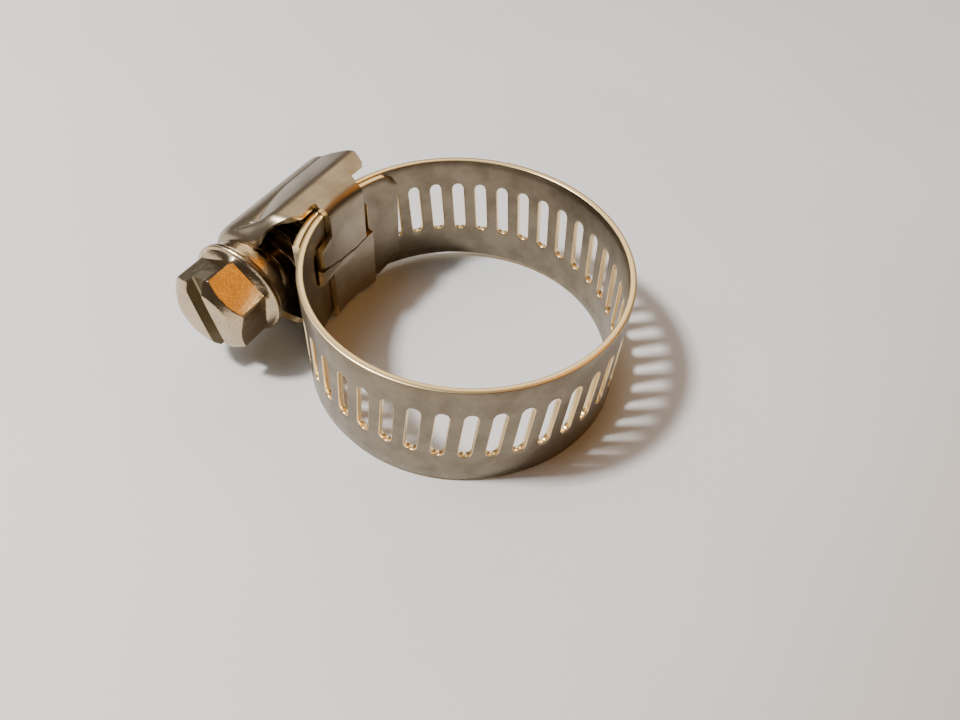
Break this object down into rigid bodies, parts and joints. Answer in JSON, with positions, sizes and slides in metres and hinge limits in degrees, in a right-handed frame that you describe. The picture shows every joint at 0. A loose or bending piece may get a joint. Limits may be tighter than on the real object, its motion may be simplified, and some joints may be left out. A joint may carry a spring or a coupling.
{
  "type": "hose clamp",
  "caption": "Worm-drive hose clamp: a slotted band wound into a ring, its free end drawn through a housing by a hex-headed screw.",
  "frame": {"origin": "on the axis of the ring, half-way across the width of the band", "axes": "+Z along the axis of the ring and the hose, +Y out through the housing, -X towards the hex head of the screw"},
  "size_m": [0.0314, 0.041, 0.0142],
  "materials": {
    "band_steel": "satin rolled stainless strip, mottled, with bright rounded edges",
    "housing_steel": "satin pressed stainless sheet, polished on the bends",
    "screw_steel": "bright zinc-plated steel, speckled on the flats"
  },
  "bodies": {
    "housing": {"housing": "housing_steel", "band_fixed_end": "band_steel"},
    "screw": {"worm_screw": "screw_steel"},
    "tail": {"band_tail": "band_steel"},
    "band_stretch_01": {"band_stretch_01": "band_steel"},
    "band_stretch_02": {"band_stretch_02": "band_steel"},
    "band_stretch_03": {"band_stretch_03": "band_steel"},
    "band_stretch_04": {"band_stretch_04": "band_steel"},
    "band_stretch_05": {"band_stretch_05": "band_steel"},
    "band_stretch_06": {"band_stretch_06": "band_steel"},
    "band_stretch_07": {"band_stretch_07": "band_steel"},
    "band_stretch_08": {"band_stretch_08": "band_steel"},
    "band_stretch_09": {"band_stretch_09": "band_steel"},
    "band_stretch_10": {"band_stretch_10": "band_steel"},
    "band_stretch_11": {"band_stretch_11": "band_steel"},
    "band_stretch_12": {"band_stretch_12": "band_steel"},
    "band_stretch_13": {"band_stretch_13": "band_steel"}
  },
  "joints": [
    {"name": "screw_turn", "type": "hinge", "parent": "housing", "child": "screw", "pos_m": [0, 0.02, 0], "axis": [1, 0, 0], "range_deg": [0, 2160]},
    {"name": "tail_feed", "type": "hinge", "parent": "housing", "child": "tail", "pos_m": [0, 0, 0], "axis": [0, 0, 1], "range_deg": [0, 54.05]},
    {"name": "band_bend_01", "type": "hinge", "parent": "housing", "child": "band_stretch_01", "pos_m": [-0.00685, 0.01316, 0], "axis": [0, 0, 1], "range_deg": [0, 7.37]},
    {"name": "band_bend_02", "type": "hinge", "parent": "band_stretch_01", "child": "band_stretch_02", "pos_m": [-0.01063, 0.01045, 0], "axis": [0, 0, 1], "range_deg": [0, 6.45]},
    {"name": "band_bend_03", "type": "hinge", "parent": "band_stretch_02", "child": "band_stretch_03", "pos_m": [-0.0134, 0.00668, 0], "axis": [0, 0, 1], "range_deg": [0, 5.13]},
    {"name": "band_bend_04", "type": "hinge", "parent": "band_stretch_03", "child": "band_stretch_04", "pos_m": [-0.01487, 0.00222, 0], "axis": [0, 0, 1], "range_deg": [0, 3.77]},
    {"name": "band_bend_05", "type": "hinge", "parent": "band_stretch_04", "child": "band_stretch_05", "pos_m": [-0.01489, -0.00249, 0], "axis": [0, 0, 1], "range_deg": [0, 2.6]},
    {"name": "band_bend_06", "type": "hinge", "parent": "band_stretch_05", "child": "band_stretch_06", "pos_m": [-0.01345, -0.007, 0], "axis": [0, 0, 1], "range_deg": [0, 1.81]},
    {"name": "band_bend_07", "type": "hinge", "parent": "band_stretch_06", "child": "band_stretch_07", "pos_m": [-0.01067, -0.01086, 0], "axis": [0, 0, 1], "range_deg": [0, 1.5]},
    {"name": "band_bend_08", "type": "hinge", "parent": "band_stretch_07", "child": "band_stretch_08", "pos_m": [-0.00682, -0.01369, 0], "axis": [0, 0, 1], "range_deg": [0, 1.7]},
    {"name": "band_bend_09", "type": "hinge", "parent": "band_stretch_08", "child": "band_stretch_09", "pos_m": [-0.00227, -0.01519, 0], "axis": [0, 0, 1], "range_deg": [0, 2.41]},
    {"name": "band_bend_10", "type": "hinge", "parent": "band_stretch_09", "child": "band_stretch_10", "pos_m": [0.00254, -0.01521, 0], "axis": [0, 0, 1], "range_deg": [0, 3.52]},
    {"name": "band_bend_11", "type": "hinge", "parent": "band_stretch_10", "child": "band_stretch_11", "pos_m": [0.00715, -0.01374, 0], "axis": [0, 0, 1], "range_deg": [0, 4.89]},
    {"name": "band_bend_12", "type": "hinge", "parent": "band_stretch_11", "child": "band_stretch_12", "pos_m": [0.01109, -0.0109, 0], "axis": [0, 0, 1], "range_deg": [0, 6.26]},
    {"name": "band_bend_13", "type": "hinge", "parent": "band_stretch_12", "child": "band_stretch_13", "pos_m": [0.01397, -0.00697, 0], "axis": [0, 0, 1], "range_deg": [0, 7.24]}
  ],
  "couplings": [
    {"joint": "tail_feed", "follows": "screw_turn", "ratio": 0.025},
    {"joint": "band_bend_01", "follows": "screw_turn", "ratio": 0.003388},
    {"joint": "band_bend_02", "follows": "screw_turn", "ratio": 0.002964},
    {"joint": "band_bend_03", "follows": "screw_turn", "ratio": 0.002354},
    {"joint": "band_bend_04", "follows": "screw_turn", "ratio": 0.001721},
    {"joint": "band_bend_05", "follows": "screw_turn", "ratio": 0.001181},
    {"joint": "band_bend_06", "follows": "screw_turn", "ratio": 0.000815},
    {"joint": "band_bend_07", "follows": "screw_turn", "ratio": 0.00067},
    {"joint": "band_bend_08", "follows": "screw_turn", "ratio": 0.000766},
    {"joint": "band_bend_09", "follows": "screw_turn", "ratio": 0.001091},
    {"joint": "band_bend_10", "follows": "screw_turn", "ratio": 0.001608},
    {"joint": "band_bend_11", "follows": "screw_turn", "ratio": 0.002242},
    {"joint": "band_bend_12", "follows": "screw_turn", "ratio": 0.002873},
    {"joint": "band_bend_13", "follows": "screw_turn", "ratio": 0.003327}
  ]
}
